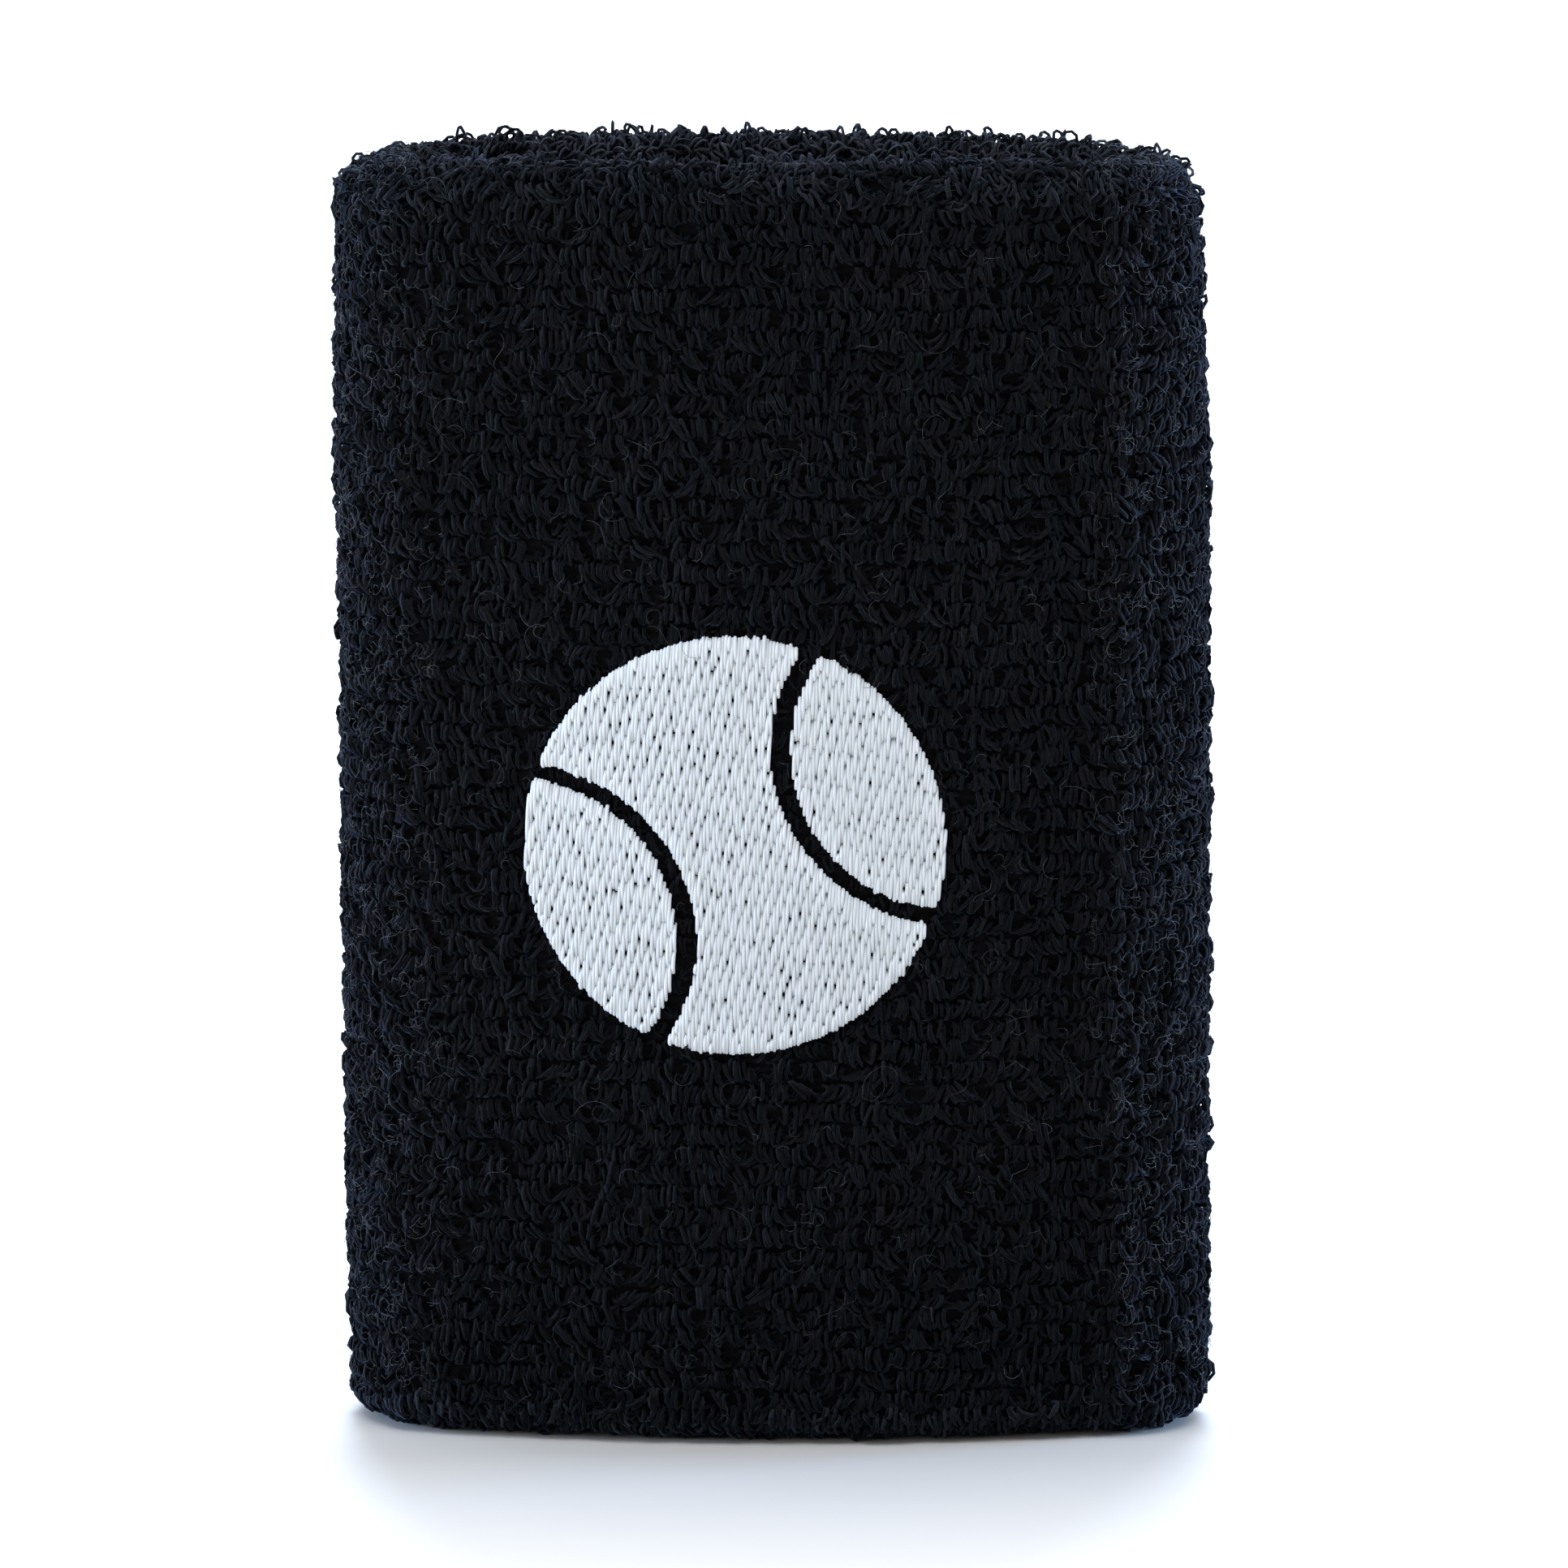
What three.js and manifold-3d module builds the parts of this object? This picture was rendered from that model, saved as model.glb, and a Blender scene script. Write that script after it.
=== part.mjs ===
// A long towelling sweat wristband, standing open on its lower rim.
// One terry tube is turned double, so that pile shows outside and inside. It folds over at the top
// and base rims, and its two ends meet in a closing seam half way up the lining.
// An embroidered ball sits on the front. Millimetres, +Z up, front towards -Y, and the origin is
// on the ground under the middle of the oval.
import * as THREE from 'three';
import { mergeVertices } from 'three/addons/utils/BufferGeometryUtils.js';
import Module from 'manifold-3d';

// The band as it stands open
const bandWidth = 77.5; // across the oval, along X
const bandDepth = 26; // front to back, along Y
const bandHeight = 115;
const leftEndRadius = 3.6; // of the hollow's left end, which bends softly
const rightEndRadius = 1.8; // of the hollow's right end, where the band was folded flat
const standingFlat = 2.5; // width of the strip that the base rim stands on

// The terry: cotton pile loops on a nylon ground knit
const pileHeight = 1.8;
const groundThickness = 0.6;
const clearance = 0.1; // between any two layers that touch in use

// What lies between the two ground layers
const elastaneThickness = 0.4;
const elastanePitch = 16; // one modelled turn stands for several courses
const elastaneEnd = 1.5; // from a wall's end to the thread's end
const backingThickness = 0.35;
const bobbinThickness = 0.25;

// The closing seam in the lining
const seamThickness = 0.5; // of the pressed fabric edge
const seamAllowance = 5.5; // from the seam line to the cut edge
const seamMouth = 0.7; // gap between the two edges, where the thread passes
const seamSetBack = 0.4; // from the lining's face to the edges
const seamThread = 0.44;

// The embroidered ball
const emblemRadius = 18.5;
const emblemX = -2.7;
const emblemZ = 54.4;
const emblemThickness = 0.9;
const emblemSink = 0.2; // below the tips of the pile round it
const emblemMargin = 0.5; // between the stitching and the standing pile
const ballSeamRadius = 15; // of the two curved gaps across the ball
const ballSeamOffset = 21; // from the ball's centre to a gap's centre
const ballSeamWidth = 1.9;
const ballTilt = 24; // degrees
const backingMargin = 2.5; // backing left round the stitching

// How finely curves are cut
const endSteps = 14;
const faceSteps = 10;
const rimSteps = 4; // per quarter turn of a rim's outside
const innerRimSteps = 5; // round the inside of a rim
const discSteps = 48;
const ovalSteps = 2 * endSteps + 2 * faceSteps;

// Layers are placed by how far out they lie from the lining's face
const interlayer =
  5 * clearance + seamThickness + bobbinThickness + backingThickness + elastaneThickness;
const wall = 2 * (pileHeight + clearance + groundThickness) + interlayer;
const liningGroundIn = pileHeight + clearance;
const liningGroundOut = liningGroundIn + groundThickness;
const seamIn = liningGroundOut + clearance;
const seamOut = seamIn + seamThickness;
const bobbinIn = seamOut + clearance;
const backingIn = bobbinIn + bobbinThickness + clearance;
const outerElastaneIn = backingIn + backingThickness + clearance;
const outerGroundIn = wall - pileHeight - clearance - groundThickness;
const outerPileIn = wall - pileHeight;
const emblemOut = wall - emblemSink;
const emblemIn = emblemOut - emblemThickness;

// Heights
const rimRadius = wall / 2;
const baseLine = Math.sqrt(rimRadius ** 2 - (standingFlat / 2) ** 2); // where the base rim ends
const topLine = bandHeight - rimRadius; // where the top rim starts
const seamLine = bandHeight / 2;
const seamEdge = seamMouth / 2; // from the seam line to the nearer face of each edge
const liningEdge = seamEdge + seamThickness + clearance; // from the seam line to the lining's terry

// The hollow's outline: two wide arcs for the faces, tangent to a small arc at each end.
function hollowArcs() {
  const halfWidth = bandWidth / 2 - wall;
  const halfDepth = bandDepth / 2 - wall;
  const fullest = 0.9 * halfDepth; // an end is always narrower than the hollow
  const left = Math.min(leftEndRadius, fullest);
  const right = Math.min(rightEndRadius, fullest);
  const reach = (end, face) => Math.sqrt((halfDepth - end) * (2 * face - end - halfDepth));
  let small = halfDepth;
  let large = 100 * halfWidth;
  for (let i = 0; i < 60; i++) {
    const middle = (small + large) / 2;
    if (reach(left, middle) + reach(right, middle) < 2 * halfWidth - left - right) small = middle;
    else large = middle;
  }
  const face = large;
  const faceX = reach(left, face) - (halfWidth - left);
  const faceY = face - halfDepth;
  const leftTurn = Math.asin(reach(left, face) / (face - left));
  const rightTurn = Math.asin(reach(right, face) / (face - right));
  const quarter = Math.PI / 2;
  return [
    { x: halfWidth - right, y: 0, radius: right, from: rightTurn - quarter, to: quarter - rightTurn, steps: endSteps },
    { x: faceX, y: -faceY, radius: face, from: quarter - rightTurn, to: quarter + leftTurn, steps: faceSteps },
    { x: left - halfWidth, y: 0, radius: left, from: quarter + leftTurn, to: 3 * quarter - leftTurn, steps: endSteps },
    { x: faceX, y: faceY, radius: face, from: 3 * quarter - leftTurn, to: 3 * quarter + rightTurn, steps: faceSteps },
  ];
}
const arcs = hollowArcs();

// The point a given number of steps round the oval, and a given distance out from the hollow.
function ovalPoint(step, out) {
  let left = ((step % ovalSteps) + ovalSteps) % ovalSteps;
  const arc = arcs.find((a) => left < a.steps || (left -= a.steps) < 0);
  const angle = arc.from + ((arc.to - arc.from) * left) / arc.steps;
  const radius = arc.radius + out;
  return [arc.x + radius * Math.cos(angle), arc.y + radius * Math.sin(angle)];
}

// A closed solid needs its shared corners merged, by position alone.
function closed(geometry) {
  geometry.deleteAttribute('normal');
  geometry.deleteAttribute('uv');
  const merged = mergeVertices(geometry, 1e-5);
  merged.computeVertexNormals();
  return merged;
}

// A lathed ring bent to the oval. Its section is a list of [out, z] corners, anticlockwise.
// A swing moves every other step in and out by that much, as a stitched thread goes.
function ovalRing(section, swing = 0) {
  const corners = [...section, section[0]];
  const profile = corners.map(([out, z]) => new THREE.Vector2(bandWidth + out, z));
  const geometry = new THREE.LatheGeometry(profile, ovalSteps);
  const position = geometry.attributes.position;
  for (let i = 0; i < position.count; i++) {
    const step = Math.floor(i / corners.length);
    const [out, z] = corners[i % corners.length];
    const [x, y] = ovalPoint(step, out + (step % 2 ? swing : -swing));
    position.setXYZ(i, x, y, z);
  }
  return closed(geometry);
}

function band(inner, outer, low, high) {
  return ovalRing([[inner, low], [outer, low], [outer, high], [inner, high]]);
}

// Half of a pipe's section, round the middle of the wall: up is 1 for the top rim, -1 for the base.
function rim(outer, inner, line, up, flat = 0) {
  const middle = wall / 2;
  const corner = (radius, angle) => [
    middle + radius * Math.cos(angle), line + up * radius * Math.sin(angle),
  ];
  const turn = Math.PI / 2 - Math.asin(flat / 2 / outer);
  const section = [];
  for (let i = 0; i <= rimSteps; i++) section.push(corner(outer, (turn * i) / rimSteps));
  for (let i = flat ? 0 : 1; i <= rimSteps; i++) {
    section.push(corner(outer, Math.PI - turn + (turn * i) / rimSteps));
  }
  for (let i = innerRimSteps; i >= 0; i--) {
    section.push(corner(inner, (Math.PI * i) / innerRimSteps));
  }
  return ovalRing(up > 0 ? section : section.reverse());
}

// The turned-in edge of the lining: a web out through the wall, and a flange along its back.
function seamFlange(up) {
  const near = seamLine + up * seamEdge;
  const far = near + up * seamThickness;
  const end = seamLine + up * seamAllowance;
  const section = [
    [seamSetBack, near], [seamOut, near], [seamOut, end], [seamIn, end], [seamIn, far], [seamSetBack, far],
  ];
  return ovalRing(up > 0 ? section : section.reverse());
}

// A thread that spirals up a wall. It is stepped where the oval is, so that it bends with the fabric.
class Spiral extends THREE.Curve {
  constructor(out, low, high) {
    super();
    this.out = out;
    this.low = low;
    this.high = high;
    this.steps = Math.round(((high - low) / elastanePitch) * ovalSteps);
  }

  getPoint(t, target = new THREE.Vector3()) {
    const [x, y] = ovalPoint(t * this.steps, this.out);
    return target.set(x, y, this.low + t * (this.high - this.low));
  }

  getUtoTmapping(u) {
    return u;
  }
}

function elastane(inner, low, high) {
  const half = elastaneThickness / 2;
  const path = new Spiral(inner + half, low + elastaneEnd, high - elastaneEnd);
  const section = new THREE.Shape([
    new THREE.Vector2(half, 0), new THREE.Vector2(0, half), new THREE.Vector2(-half, 0), new THREE.Vector2(0, -half),
  ]);
  return closed(new THREE.ExtrudeGeometry(section, { steps: path.steps, extrudePath: path }));
}

// Joining and cutting
const wasm = await Module();
wasm.setup();

function solid(geometry) {
  return new wasm.Manifold(new wasm.Mesh({
    numProp: 3,
    vertProperties: new Float32Array(geometry.attributes.position.array),
    triVerts: new Uint32Array(geometry.index.array),
  }));
}

function geometryOf(shape) {
  const mesh = shape.getMesh();
  const geometry = new THREE.BufferGeometry();
  geometry.setAttribute('position', new THREE.BufferAttribute(mesh.vertProperties, 3));
  geometry.setIndex(new THREE.BufferAttribute(mesh.triVerts, 1));
  geometry.computeVertexNormals();
  return geometry;
}

// A round bar through the front wall. Its place is measured from the emblem's centre.
function bar(radius, x = 0, z = 0) {
  const disc = new THREE.Shape().absarc(emblemX + x, emblemZ + z, radius, 0, 2 * Math.PI);
  const geometry = new THREE.ExtrudeGeometry(disc, { depth: bandDepth, bevelEnabled: false, curveSegments: discSteps });
  geometry.rotateX(Math.PI / 2);
  return solid(closed(geometry));
}

// A disc of one layer of the front wall, following its curve.
function layerDisc(inner, outer, radius) {
  const layer = solid(band(inner, outer, emblemZ - radius - 1, emblemZ + radius + 1));
  return layer.intersect(bar(radius));
}

// The two curved gaps cross the ball on either side of its centre.
const tilt = THREE.MathUtils.degToRad(ballTilt);
function seamBar(side, radius) {
  return bar(radius, side * ballSeamOffset * Math.cos(tilt), side * ballSeamOffset * Math.sin(tilt));
}

const ball = layerDisc(emblemIn, emblemOut, emblemRadius);
const gapOut = ballSeamRadius + ballSeamWidth / 2;
const gapIn = ballSeamRadius - ballSeamWidth / 2;
const emblemSide = (side) => geometryOf(ball.intersect(seamBar(side, gapIn)));
const emblemMiddle = geometryOf(ball.subtract(seamBar(-1, gapOut)).subtract(seamBar(1, gapOut)));

// The pile is pressed down under the stitching.
function outerPile() {
  const pile = solid(band(outerPileIn, wall, baseLine + clearance, topLine - clearance));
  const pressed = layerDisc(emblemIn - clearance, wall + 1, emblemRadius + emblemMargin);
  return geometryOf(pile.subtract(pressed));
}

const halfThread = seamThread / 2;
const threadSection = [
  [-halfThread, seamLine - halfThread], [halfThread, seamLine - halfThread],
  [halfThread, seamLine + halfThread], [-halfThread, seamLine + halfThread],
];
// The closing thread passes in and out between the two edges.
function closingThread() {
  const deep = seamIn;
  const middle = (seamSetBack + deep) / 2;
  const section = threadSection.map(([out, z]) => [out + middle, z]);
  return ovalRing(section, middle - seamSetBack - halfThread);
}

const material = (color, roughness) => new THREE.MeshStandardMaterial({ color, roughness, metalness: 0 });
const cottonPile = material('#15161a', 0.95);
const groundKnit = material('#0c0d10', 0.85);
const elastaneYarn = material('#b9bcc0', 0.6);
const embroidery = material('#c6cfd8', 0.45);
const bobbinYarn = material('#d8dadc', 0.7);
const backingFelt = material('#e6e6e2', 0.9);
const sewingThread = material('#1b1d22', 0.6);

const wristband = new THREE.Group();
function add(name, geometry, look) {
  const mesh = new THREE.Mesh(geometry, look);
  mesh.name = name;
  wristband.add(mesh);
}

const low = baseLine + clearance;
const high = topLine - clearance;
const above = seamLine + liningEdge;
const below = seamLine - liningEdge;
const pileRimIn = rimRadius - pileHeight;
const groundRimOut = pileRimIn - clearance;
const groundRimIn = groundRimOut - groundThickness;

add('outer_pile', outerPile(), cottonPile);
add('outer_ground', band(outerGroundIn, outerGroundIn + groundThickness, low, high), groundKnit);
add('top_rim_pile', rim(rimRadius, pileRimIn, topLine, 1), cottonPile);
add('top_rim_ground', rim(groundRimOut, groundRimIn, topLine, 1), groundKnit);
add('base_rim_pile', rim(rimRadius, pileRimIn, baseLine, -1, standingFlat), cottonPile);
add('base_rim_ground', rim(groundRimOut, groundRimIn, baseLine, -1), groundKnit);
add('lining_pile_upper', band(0, pileHeight, above, high), cottonPile);
add('lining_ground_upper', band(liningGroundIn, liningGroundOut, above, high), groundKnit);
add('lining_pile_lower', band(0, pileHeight, low, below), cottonPile);
add('lining_ground_lower', band(liningGroundIn, liningGroundOut, low, below), groundKnit);
add('seam_edge_upper', seamFlange(1), groundKnit);
add('seam_edge_lower', seamFlange(-1), groundKnit);
add('closing_thread', closingThread(), sewingThread);
add('elastane_outer', elastane(outerElastaneIn, low, high), elastaneYarn);
add('elastane_lining_upper', elastane(seamIn, seamLine + seamAllowance, high), elastaneYarn);
add('elastane_lining_lower', elastane(seamIn, low, seamLine - seamAllowance), elastaneYarn);
add('emblem_left', emblemSide(-1), embroidery);
add('emblem_middle', emblemMiddle, embroidery);
add('emblem_right', emblemSide(1), embroidery);
add('emblem_backing', geometryOf(layerDisc(backingIn, backingIn + backingThickness, emblemRadius + backingMargin)), backingFelt);
add('emblem_bobbin_thread', geometryOf(layerDisc(bobbinIn, bobbinIn + bobbinThickness, emblemRadius)), bobbinYarn);

export default wristband;
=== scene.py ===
# A long towelling sweat wristband, standing open on its base rim.
# A knitted sleeve is turned double, loops of cotton pile stand on it outside and inside,
# and a plain ball is embroidered on the front. Metres, +Z up, front towards -Y.
from math import asin, cos, pi, radians, sin, sqrt, tan

import bpy
import numpy as np
from mathutils import Matrix, Vector, noise


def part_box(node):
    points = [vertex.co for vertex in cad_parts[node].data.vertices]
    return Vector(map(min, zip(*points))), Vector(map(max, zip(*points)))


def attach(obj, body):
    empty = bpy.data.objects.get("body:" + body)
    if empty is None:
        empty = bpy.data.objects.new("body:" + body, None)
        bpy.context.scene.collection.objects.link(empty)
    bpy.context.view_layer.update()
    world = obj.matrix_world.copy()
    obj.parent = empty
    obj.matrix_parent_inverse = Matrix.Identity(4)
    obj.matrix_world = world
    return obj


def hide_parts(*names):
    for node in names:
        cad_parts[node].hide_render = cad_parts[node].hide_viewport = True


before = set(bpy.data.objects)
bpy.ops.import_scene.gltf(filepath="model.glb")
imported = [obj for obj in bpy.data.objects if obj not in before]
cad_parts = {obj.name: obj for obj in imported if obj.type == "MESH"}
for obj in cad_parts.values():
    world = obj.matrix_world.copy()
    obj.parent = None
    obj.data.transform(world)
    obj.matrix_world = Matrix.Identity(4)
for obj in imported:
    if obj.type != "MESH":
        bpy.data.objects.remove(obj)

mm = 0.001
up = np.array([0.0, 0.0, 1.0])
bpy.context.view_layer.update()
body = "root"


def span(node, axis):
    low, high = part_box(node)
    return high[axis] - low[axis]


# Sizes that follow the frame
halfWidth = span("outer_pile", 0) / 2
halfDepth = span("outer_pile", 1) / 2
rimRadius = span("top_rim_pile", 2)
wall = 2 * rimRadius
pileHeight = (span("outer_pile", 0) - span("outer_ground", 0)) / 2
groundThick = (span("outer_ground", 0) - span("elastane_outer", 0)) / 2
groundOut = wall - pileHeight  # how far out the outer ground's face lies from the hollow
groundIn = pileHeight  # the same for the lining's ground
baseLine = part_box("base_rim_pile")[1][2]
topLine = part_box("top_rim_pile")[0][2]
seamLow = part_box("lining_pile_lower")[1][2]
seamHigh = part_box("lining_pile_upper")[0][2]
emblemLow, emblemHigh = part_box("emblem_bobbin_thread")
emblemX = (emblemLow[0] + emblemHigh[0]) / 2
emblemZ = (emblemLow[2] + emblemHigh[2]) / 2
emblemRadius = (emblemHigh[2] - emblemLow[2]) / 2


# The shape of the sleeve

oval = {
    "leftEndRadius": 3.6 * mm,  # of the hollow's soft left end
    "rightEndRadius": 1.8 * mm,  # of its right end, where the band was folded flat
}


def ovalArcs():
    # the hollow's outline: a small arc at each end, tangent to a wide arc on each face
    wide, deep = halfWidth - wall, halfDepth - wall
    left, right = oval["leftEndRadius"], oval["rightEndRadius"]

    def reach(end, face):
        return sqrt((deep - end) * (2 * face - end - deep))

    small, large = deep, 100 * wide
    for _ in range(60):
        face = (small + large) / 2
        if reach(left, face) + reach(right, face) < 2 * wide - left - right:
            small = face
        else:
            large = face
    faceX, faceY = reach(left, face) - (wide - left), face - deep
    leftTurn = asin(reach(left, face) / (face - left))
    rightTurn = asin(reach(right, face) / (face - right))
    quarter = pi / 2
    return np.array([
        (wide - right, 0, right, rightTurn - quarter, quarter - rightTurn),
        (faceX, -faceY, face, quarter - rightTurn, quarter + leftTurn),
        (left - wide, 0, left, quarter + leftTurn, 3 * quarter - leftTurn),
        (faceX, faceY, face, 3 * quarter - leftTurn, 3 * quarter + rightTurn),
    ])


arcs = ovalArcs()  # each one's centre x and y, radius, first and last angle


def girth(out):
    return float(((arcs[:, 2] + out) * (arcs[:, 4] - arcs[:, 3])).sum())


def aroundOval(share, out):
    # points at these shares of the way round, this far out from the hollow, and their normals
    share, out = np.broadcast_arrays(np.asarray(share, float) % 1, np.asarray(out, float))
    turns = arcs[:, 4] - arcs[:, 3]
    lengths = (arcs[:, 2] + out[..., None]) * turns
    ends = np.cumsum(lengths, axis=-1)
    walked = share * ends[..., -1]
    which = np.minimum((walked[..., None] >= ends).sum(-1), len(arcs) - 1)
    before = np.take_along_axis(ends - lengths, which[..., None], -1)[..., 0]
    x, y, radius, start = (arcs[which, k] for k in range(4))
    angle = start + (walked - before) / (radius + out)
    normal = np.stack([np.cos(angle), np.sin(angle), np.zeros_like(angle)], -1)
    point = np.stack([x, y, np.zeros_like(x)], -1) + (radius + out)[..., None] * normal
    return point, normal


def unit(vectors):
    return vectors / np.maximum(np.linalg.norm(vectors, axis=-1, keepdims=True), 1e-12)


def softly(points, size, seed):
    # smooth noise from -1 to 1 at each point
    shift = Vector((seed * 17.3, seed * 5.1, seed * 9.7))
    return np.array([noise.noise(Vector(p) / size + shift) for p in points.reshape(-1, 3)])


slack = {
    "bulge": 0.15 * mm,  # how far the middle of the band swells
    "ripple": 0.4 * mm,  # how far the cloth wanders in and out
    "rippleSize": 17 * mm,
    "droop": 1.6 * mm,  # how far the top rim hangs lower at the oval's ends
    "ridge": 0.9 * mm,  # how far an old crease stands out, at the right of the front
    "ridgeTurn": 4,  # degrees round the right end from the front to that crease
    "ridgeSpread": 13,  # degrees
    "ridgeWander": 9,  # degrees that it strays to and fro on its way up
    "wanderSize": 38 * mm,
    "hollow": 0.5 * mm,  # how deep the cloth sinks beside it
    "hollowTurn": -26,
    "tuck": 0.9 * mm,  # how far the top of the right end draws in
}


def swell(points):
    # how far out the cloth stands from its true place, outside the band
    height = (points[:, 2] - baseLine) / (topLine - baseLine)
    held = np.clip(np.minimum(height, 1 - height) * 9, 0, 1)  # 0 at the rims, 1 a ninth of the way in
    middle = np.sin(np.clip(height, 0, 1) * pi)
    wave = 0.5 + 0.5 * softly(points * [1, 1, 0.7], slack["rippleSize"], 1)
    ripple = slack["ripple"] * (0.25 + 0.75 * held) * wave
    turn = np.degrees(np.arctan2(points[:, 0] - arcs[0, 0], -points[:, 1]))
    turn = turn + slack["ridgeWander"] * softly(points * [0, 0, 1], slack["wanderSize"], 8)
    ridge, hollow = (np.exp(-((turn - slack[place]) / slack["ridgeSpread"]) ** 2)
                     for place in ("ridgeTurn", "hollowTurn"))
    crease = slack["ridge"] * ridge - slack["hollow"] * hollow
    topQuarter = np.clip(4 * height - 3, 0, 1)
    tuck = slack["tuck"] * topQuarter * np.clip(points[:, 0] / halfWidth, 0, 1) ** 6
    return slack["bulge"] * middle + ripple + crease * (0.3 + 0.7 * held) - tuck


def droop(points):
    # how far the cloth hangs lower, near the top rim at the ends of the oval
    high = np.clip((points[..., 2] - baseLine) / (topLine - baseLine), 0, 1.05)
    end = np.clip(np.abs(points[..., 0]) / halfWidth, 0, 1)
    return slack["droop"] * high ** 6 * end ** 5


class Section:
    # the way along the cloth, from the seam down the lining, under the base rim, up the outside,
    # over the top rim and down to the seam
    def __init__(self, outer, inner):
        self.radius = (outer - inner) / 2  # outer and inner are how far out each wall's face lies
        self.middle = (outer + inner) / 2
        bend = pi * self.radius
        self.parts = np.cumsum([
            0, seamLow - baseLine, bend, topLine - baseLine, bend, topLine - seamHigh])
        self.length = self.parts[-1]

    def at(self, walked):
        # how far out and how high, then the normal and the way along, each as (out, up)
        walked = np.asarray(walked, float)
        toBase, toOutside, toTop, toLining = self.parts[1:5]
        stretch = [walked < toBase, walked < toOutside, walked < toTop, walked < toLining]
        baseTurn = pi + (walked - toBase) / self.radius
        turn = np.select(stretch, [pi, baseTurn, 0, (walked - toTop) / self.radius], pi)
        line = np.select(stretch, [seamLow - walked, baseLine, baseLine + walked - toOutside, topLine],
                         topLine - (walked - toLining))
        normal = np.stack([np.cos(turn), np.sin(turn)], -1)
        along = np.stack([-np.sin(turn), np.cos(turn)], -1)
        out = self.middle + self.radius * normal[..., 0]
        return out, line + self.radius * normal[..., 1], normal, along


def clothPoint(section, walked, share):
    # a point of the cloth, its outward normal, the way along it and the way round it
    out, z, flatNormal, flatAlong = section.at(walked)
    flat, outward = aroundOval(share, out)
    normal = outward * flatNormal[..., :1] + up * flatNormal[..., 1:]
    along = outward * flatAlong[..., :1] + up * flatAlong[..., 1:]
    point = flat + up * z[..., None]
    outerSide = np.clip((flatNormal[..., 0] + 0.2) / 0.8, 0, 1)  # the lining doesn't swell
    move = swell(point.reshape(-1, 3)).reshape(outerSide.shape) * outerSide
    point = point + outward * move[..., None] - up * droop(point)[..., None]
    return point, normal, along, np.cross(up, outward)


packed = 0.65 * mm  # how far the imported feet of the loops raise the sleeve's face
outerSkin = Section(groundOut + packed, groundIn - packed)
innerSkin = Section(groundOut - groundThick, groundIn + groundThick)


# Helpers for nodes and meshes

def linear(hexColour):
    # an sRGB hex colour as linear RGBA
    values = [int(hexColour[i:i + 2], 16) / 255 for i in (1, 3, 5)]
    return (*[v / 12.92 if v <= 0.04045 else ((v + 0.055) / 1.055) ** 2.4 for v in values], 1)


def addNode(tree, kind, settings=None, links=None, **inputs):
    # adds a node: settings are its own properties, links are the outputs or numbers its sockets take
    node = tree.nodes.new(kind)
    for name, value in (settings or {}).items():
        setattr(node, name, value)
    for name, value in inputs.items():
        node.inputs[name.replace("_", " ")].default_value = value
    for name, value in (links or {}).items():
        if isinstance(value, bpy.types.NodeSocket):
            tree.links.new(value, node.inputs[name])
        else:
            node.inputs[name].default_value = value
    return node


def addMath(tree, operation, *values):
    # one step of arithmetic on outputs and numbers
    return addNode(tree, "ShaderNodeMath", {"operation": operation}, dict(enumerate(values))).outputs[0]


def newMaterial(name, **inputs):
    # a Principled material, and the Object coordinates that its patterns read
    material = bpy.data.materials.new(name)
    material.use_nodes = True
    tree = material.node_tree
    tree.nodes.clear()
    shader = addNode(tree, "ShaderNodeBsdfPrincipled", **inputs)
    addNode(tree, "ShaderNodeOutputMaterial", links={"Surface": shader.outputs[0]})
    return material, tree, shader, addNode(tree, "ShaderNodeTexCoord").outputs["Object"]


def showing(obj):
    bpy.context.scene.collection.objects.link(obj)
    return obj


def pointBed(name, points, **attributes):
    # a mesh of loose points that carries what each copy needs to know
    mesh = bpy.data.meshes.new(name)
    mesh.from_pydata(points.tolist(), [], [])
    for key, values in attributes.items():
        values = np.asarray(values)
        kind = {1: "FLOAT", 2: "FLOAT_VECTOR"}[values.ndim] if values.dtype.kind == "f" else "INT"
        layer = mesh.attributes.new(key, kind, "POINT")
        layer.data.foreach_set("vector" if kind == "FLOAT_VECTOR" else "value", values.ravel())
    return showing(bpy.data.objects.new(name, mesh))


def grown(bed, tree, **values):
    # runs a node tree on a bed with these inputs, and keeps the result as a plain mesh
    modifier = bed.modifiers.new(tree.name, "NODES")
    modifier.node_group = tree
    for item in tree.interface.items_tree:
        if item.in_out == "INPUT" and item.name in values:
            modifier[item.identifier] = values[item.name]
    graph = bpy.context.evaluated_depsgraph_get()
    mesh = bpy.data.meshes.new_from_object(bed.evaluated_get(graph))
    bed.modifiers.clear()
    for name in ("facing", "across", "grow", "kind"):
        if name in mesh.attributes:
            mesh.attributes.remove(mesh.attributes[name])
    bed.data = mesh
    mesh.name = bed.name
    print(bed.name, len(mesh.polygons), "faces")
    return bed


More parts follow.
